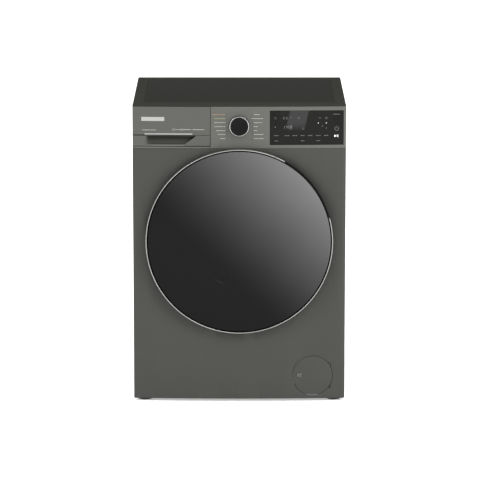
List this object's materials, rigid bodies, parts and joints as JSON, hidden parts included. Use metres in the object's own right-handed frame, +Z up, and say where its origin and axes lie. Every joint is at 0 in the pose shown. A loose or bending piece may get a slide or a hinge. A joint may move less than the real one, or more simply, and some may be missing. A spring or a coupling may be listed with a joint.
{
  "type": "front load washing machine",
  "caption": "Grey front load washing machine with a round dark glass door, dispenser drawer, programme knob, display panel and pump filter hatch.",
  "frame": {"origin": "bottom centre of the whole machine's box, on the floor", "axes": "+X to the machine's right as seen from its front, +Y to the back, +Z up"},
  "size_m": [0.598, 0.59, 0.85],
  "materials": {
    "body_paint": "satin silver grey",
    "lid_paint": "dark grey, fine texture",
    "fascia_plastic": "metallic grey",
    "black_plastic": "gloss black",
    "dark_plastic": "dark moulded",
    "display": "smoked",
    "board": "circuit board",
    "chrome": "polished",
    "silver_trim": "satin",
    "door_glass": "smoked dark",
    "bowl_glass": "clear pressed",
    "zinc_steel": "zinc plated",
    "drum_steel": "bright, perforated",
    "grey_rubber": "grey moulded",
    "black_rubber": "ribbed",
    "tub_plastic": "glass filled grey white",
    "white_plastic": "white moulded",
    "cast_alloy": "as cast",
    "concrete": "cast",
    "bearing_steel": "ground"
  },
  "bodies": {
    "cabinet": {"side_panel_left": "body_paint", "side_panel_right": "body_paint", "front_panel": "body_paint", "rear_panel": "zinc_steel", "rear_cover": "zinc_steel", "base_pan": "dark_plastic", "top_lid": "lid_paint", "front_brace": "zinc_steel", "control_panel": "fascia_plastic", "display_window": "display", "display_board": "board", "dispenser_housing": "white_plastic", "inlet_valve": "white_plastic", "inlet_hose": "black_rubber", "dispenser_hose": "black_rubber", "door_gasket": "grey_rubber", "tub_front": "tub_plastic", "tub_rear": "tub_plastic", "tub_springs": "zinc_steel", "counterweight_top": "concrete", "counterweight_front": "concrete", "damper_tubes": "dark_plastic", "damper_rods": "white_plastic", "drum_bearings": "bearing_steel", "motor_housing": "cast_alloy", "drive_belt": "black_rubber", "heater": "zinc_steel", "sump_hose": "black_rubber", "filter_housing": "white_plastic", "drain_pump": "dark_plastic", "drain_hose": "black_rubber", "door_lock": "white_plastic", "hinge_bracket": "zinc_steel", "mains_gland": "dark_plastic"},
    "door": {"door_frame": "black_plastic", "door_trim_ring": "silver_trim", "door_glass": "door_glass", "door_bowl": "bowl_glass", "door_inner_ring": "dark_plastic", "hinge_arm": "zinc_steel"},
    "handle": {"door_handle": "black_plastic"},
    "hook": {"latch_hook": "zinc_steel"},
    "drum": {"drum_shell": "drum_steel", "drum_back_plate": "drum_steel", "drum_lifters": "white_plastic", "drum_spider": "cast_alloy", "drum_pulley": "cast_alloy"},
    "rotor": {"motor_rotor": "bearing_steel"},
    "knob": {"knob_cap": "black_plastic", "knob_bezel": "chrome"},
    "drawer": {"drawer_tray": "white_plastic", "drawer_front": "fascia_plastic", "drawer_grip": "dark_plastic", "drawer_strip": "silver_trim"},
    "hatch": {"filter_hatch": "body_paint"},
    "filter": {"pump_filter": "white_plastic"},
    "foot_fl": {"foot_front_left": "black_rubber"},
    "foot_fr": {"foot_front_right": "black_rubber"},
    "foot_rl": {"foot_rear_left": "black_rubber"},
    "foot_rr": {"foot_rear_right": "black_rubber"}
  },
  "joints": [
    {"name": "door_hinge", "type": "hinge", "parent": "cabinet", "child": "door", "pos_m": [-0.25, -0.2703, 0.467], "axis": [0, 0, -1], "range_deg": [0, 150]},
    {"name": "handle_pull", "type": "hinge", "parent": "door", "child": "handle", "pos_m": [0.18597, -0.268, 0.6123], "axis": [0.6157, 0, -0.788], "range_deg": [0, 8], "stiffness_Nm_per_rad": 1},
    {"name": "hook_turn", "type": "hinge", "parent": "door", "child": "hook", "pos_m": [0.17573, -0.266, 0.60429], "axis": [0.6157, 0, -0.788], "range_deg": [0, 8], "stiffness_Nm_per_rad": 0.2},
    {"name": "drum_spin", "type": "hinge", "parent": "cabinet", "child": "drum", "pos_m": [0, 0.02, 0.467], "axis": [0, 1, 0], "continuous": true},
    {"name": "motor_spin", "type": "hinge", "parent": "cabinet", "child": "rotor", "pos_m": [-0.095, 0.25, 0.146], "axis": [0, 1, 0], "continuous": true},
    {"name": "knob_turn", "type": "hinge", "parent": "cabinet", "child": "knob", "pos_m": [0, -0.27, 0.7932], "axis": [0, 1, 0], "continuous": true},
    {"name": "drawer_slide", "type": "slide", "parent": "cabinet", "child": "drawer", "axis": [0, -1, 0], "range_m": [0, 0.24]},
    {"name": "hatch_hinge", "type": "hinge", "parent": "cabinet", "child": "hatch", "pos_m": [0.255, -0.24975, 0.0757], "axis": [0, 0, 1], "range_deg": [0, 100]},
    {"name": "filter_turn", "type": "hinge", "parent": "cabinet", "child": "filter", "pos_m": [0.2073, -0.2, 0.0757], "axis": [0, 1, 0], "range_deg": [0, 90]},
    {"name": "screw_fl", "type": "slide", "parent": "cabinet", "child": "foot_fl", "axis": [0, 0, -1], "range_m": [0, 0.012]},
    {"name": "screw_fr", "type": "slide", "parent": "cabinet", "child": "foot_fr", "axis": [0, 0, -1], "range_m": [0, 0.012]},
    {"name": "screw_rl", "type": "slide", "parent": "cabinet", "child": "foot_rl", "axis": [0, 0, -1], "range_m": [0, 0.012]},
    {"name": "screw_rr", "type": "slide", "parent": "cabinet", "child": "foot_rr", "axis": [0, 0, -1], "range_m": [0, 0.012]}
  ],
  "couplings": [
    {"joint": "hook_turn", "follows": "handle_pull", "ratio": 1},
    {"joint": "motor_spin", "follows": "drum_spin", "ratio": 12.727}
  ]
}
